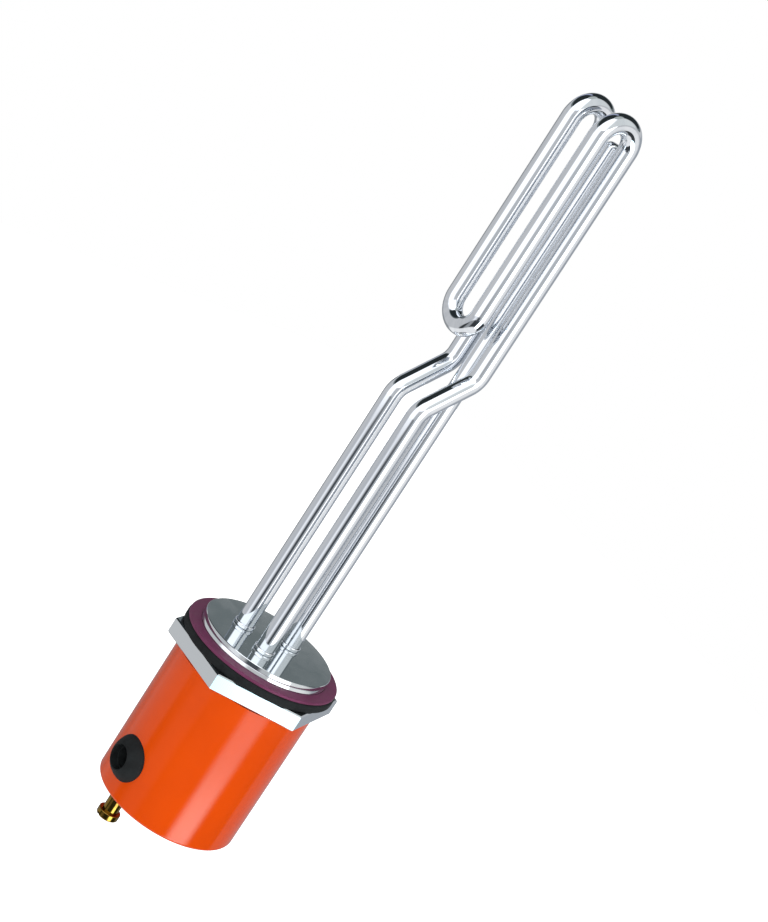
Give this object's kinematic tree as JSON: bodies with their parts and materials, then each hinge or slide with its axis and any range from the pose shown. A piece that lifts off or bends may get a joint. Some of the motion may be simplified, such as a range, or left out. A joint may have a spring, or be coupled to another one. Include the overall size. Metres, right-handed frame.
{
  "type": "solar water heater element",
  "caption": "Electric immersion heating element with a twin hairpin tube, thermowell, hexagonal flanged head, gaskets and a round terminal cover.",
  "frame": {"origin": "centre of the sealing face, where the silicone gasket meets the tank", "axes": "+Z into the tank along the tubes, +X from the cable side of the cover to the thermowell side"},
  "size_m": [0.0727, 0.0776, 0.3573],
  "materials": {
    "head": "polished chrome plate",
    "tube": "bright stainless tube",
    "steel": "zinc plated",
    "brass": "turned, bright",
    "magnesia": "pressed powder",
    "end_seal": "fired, matt",
    "black_rubber": "moulded, satin",
    "purple_silicone": "moulded silicone, satin",
    "orange_paint": "gloss enamel",
    "black_plastic": "moulded",
    "dial_plastic": "moulded",
    "button_plastic": "moulded"
  },
  "bodies": {
    "heater": {"hex_head": "head", "rubber_gasket": "black_rubber", "silicone_gasket": "purple_silicone", "heating_tube": "tube", "magnesia_core": "magnesia", "terminal_pin_a": "steel", "terminal_pin_b": "steel", "end_seal_a": "end_seal", "end_seal_b": "end_seal", "collar_a": "tube", "collar_b": "tube", "collar_well": "tube", "pin_nuts": "steel", "pin_washers": "steel", "thermowell": "tube", "thermostat_stem": "brass", "expansion_rod": "steel", "thermostat_housing": "black_plastic", "thermostat_tabs": "brass", "live_link": "brass", "neutral_tag": "brass", "cover_pillar": "brass", "cover": "orange_paint", "cover_seal": "black_rubber", "cover_screw": "steel", "cover_washer": "steel", "cable_grommet": "black_rubber", "earth_post": "brass", "earth_post_washer": "brass", "earth_post_nut": "brass", "inner_earth_screw": "brass", "inner_earth_tag": "brass"},
    "dial": {"thermostat_dial": "dial_plastic"},
    "button": {"reset_button": "button_plastic"}
  },
  "joints": [
    {"name": "dial_turn", "type": "hinge", "parent": "heater", "child": "dial", "pos_m": [0.0147, 0.0075, -0.0483], "axis": [0, 0, -1], "range_deg": [0, 270]},
    {"name": "button_press", "type": "slide", "parent": "heater", "child": "button", "axis": [0, 0, 1], "range_m": [0, 0.0015], "stiffness_N_per_m": 400}
  ]
}
